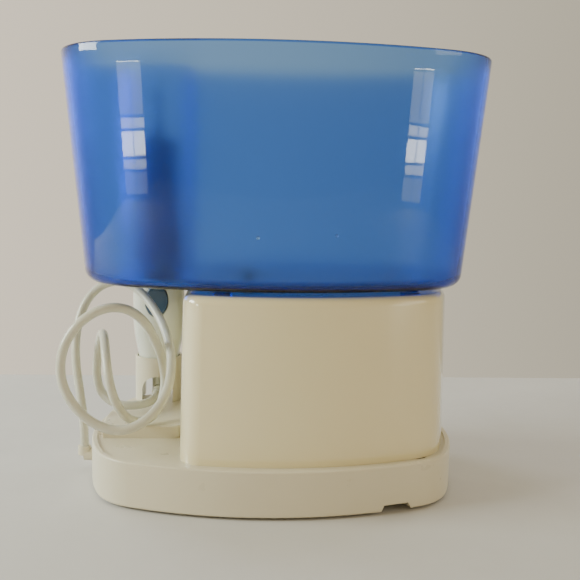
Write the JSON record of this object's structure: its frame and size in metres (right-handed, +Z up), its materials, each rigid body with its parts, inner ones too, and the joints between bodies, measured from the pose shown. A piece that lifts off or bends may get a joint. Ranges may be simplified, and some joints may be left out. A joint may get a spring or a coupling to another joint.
{
  "type": "water flosser",
  "caption": "Countertop water flosser: oval base with pump housing, tapered translucent reservoir on top, corded handle in a cradle, pressure dial and power rocker.",
  "frame": {"origin": "on the table under the middle of the object's box", "axes": "+Z up, +Y towards the front with the dial and switch, -X towards the handle's end"},
  "size_m": [0.2141, 0.134, 0.215],
  "materials": {
    "base_plastic": "satin",
    "body_plastic": "glossy",
    "tank_blue": "clear tinted plastic",
    "handle_plastic": "glossy",
    "button_blue": "satin",
    "hose_vinyl": "satin",
    "rubber_grey": "matte",
    "tubing": "translucent",
    "control_grey": "satin",
    "nylon": "natural",
    "frame_plastic": "textured",
    "steel": "plain",
    "motor_can": "zinc plated",
    "pinion_brass": "machined",
    "board_green": "lacquered",
    "tip_white": "glossy",
    "tip_blue": "glossy"
  },
  "bodies": {
    "base": {"base_tray": "base_plastic", "bottom_cover": "base_plastic", "cover_screws": "steel", "housing_screws": "steel", "rubber_feet": "rubber_grey", "cord_gland": "rubber_grey", "housing": "body_plastic", "handle_cradle": "base_plastic", "hose_outlet": "base_plastic", "pressure_valve": "nylon", "switch_bezel": "control_grey", "rubber_mounts": "rubber_grey", "mount_screws": "steel", "pump_frame": "frame_plastic", "motor": "motor_can", "gear_axle": "steel", "pump_cylinder": "nylon", "pump_head": "nylon", "check_balls": "steel", "inlet_tube": "tubing", "outlet_tube": "tubing", "bypass_tubes": "tubing", "rectifier_board": "board_green", "hose": "hose_vinyl"},
    "reservoir": {"reservoir": "tank_blue", "spigot_seal": "rubber_grey", "valve_spring": "steel"},
    "reservoir_valve": {"reservoir_valve": "nylon"},
    "handle": {"handle_shell_rear": "handle_plastic", "handle_shell_front": "handle_plastic", "handle_tube": "nylon", "hose_connector": "handle_plastic"},
    "handle_button": {"handle_button": "button_blue"},
    "eject_button": {"eject_button": "button_blue"},
    "tip": {"tip_knob": "handle_plastic", "jet_tip": "tip_white", "tip_ring": "tip_blue"},
    "dial": {"pressure_dial": "control_grey", "valve_spool": "nylon"},
    "rocker": {"power_rocker": "button_blue"},
    "drive_gear": {"drive_gear": "nylon"},
    "pinion": {"motor_pinion": "pinion_brass"},
    "piston": {"piston": "nylon", "piston_seal": "rubber_grey"},
    "rod": {"connecting_rod": "nylon"}
  },
  "joints": [
    {"name": "reservoir_lift", "type": "slide", "parent": "base", "child": "reservoir", "axis": [0, 0, 1], "range_m": [0, 0.04]},
    {"name": "reservoir_valve", "type": "slide", "parent": "reservoir", "child": "reservoir_valve", "axis": [0, 0, 1], "range_m": [-0.0028, 0], "deforming": ["valve_spring"]},
    {"name": "handle_lift", "type": "slide", "parent": "base", "child": "handle", "axis": [0, 0, 1], "range_m": [0, 0.024]},
    {"name": "handle_button", "type": "slide", "parent": "handle", "child": "handle_button", "axis": [0, 1, 0], "range_m": [0, 0.0015], "stiffness_N_per_m": 400},
    {"name": "eject_button", "type": "slide", "parent": "handle", "child": "eject_button", "axis": [0, -1, 0], "range_m": [0, 0.0012], "stiffness_N_per_m": 400},
    {"name": "tip_turn", "type": "hinge", "parent": "handle", "child": "tip", "pos_m": [-0.064, 0.041, 0.17], "axis": [0, 0, 1], "continuous": true},
    {"name": "pressure_dial", "type": "hinge", "parent": "base", "child": "dial", "pos_m": [-0.004, 0.057, 0.06], "axis": [0, 1, 0], "range_deg": [0, 270]},
    {"name": "power_rocker", "type": "hinge", "parent": "base", "child": "rocker", "pos_m": [0.048, 0.046, 0.08], "axis": [0.965, -0.2622, 0], "range_deg": [-14, 0]},
    {"name": "drive_gear", "type": "hinge", "parent": "base", "child": "drive_gear", "pos_m": [0.028, 0, 0.06], "axis": [0, 1, 0], "continuous": true},
    {"name": "motor_pinion", "type": "hinge", "parent": "base", "child": "pinion", "pos_m": [0.05329, 0, 0.04821], "axis": [0, 1, 0], "continuous": true},
    {"name": "piston", "type": "slide", "parent": "base", "child": "piston", "axis": [-1, 0, 0], "range_m": [0, 0.012]},
    {"name": "rod_swing", "type": "hinge", "parent": "piston", "child": "rod", "pos_m": [0.002, -0.0103, 0.06], "axis": [0, 1, 0], "range_deg": [-10.8, 10.8]}
  ],
  "couplings": [
    {"joint": "reservoir_valve", "follows": "reservoir_lift", "ratio": -0.07},
    {"joint": "motor_pinion", "follows": "drive_gear", "ratio": -4}
  ]
}
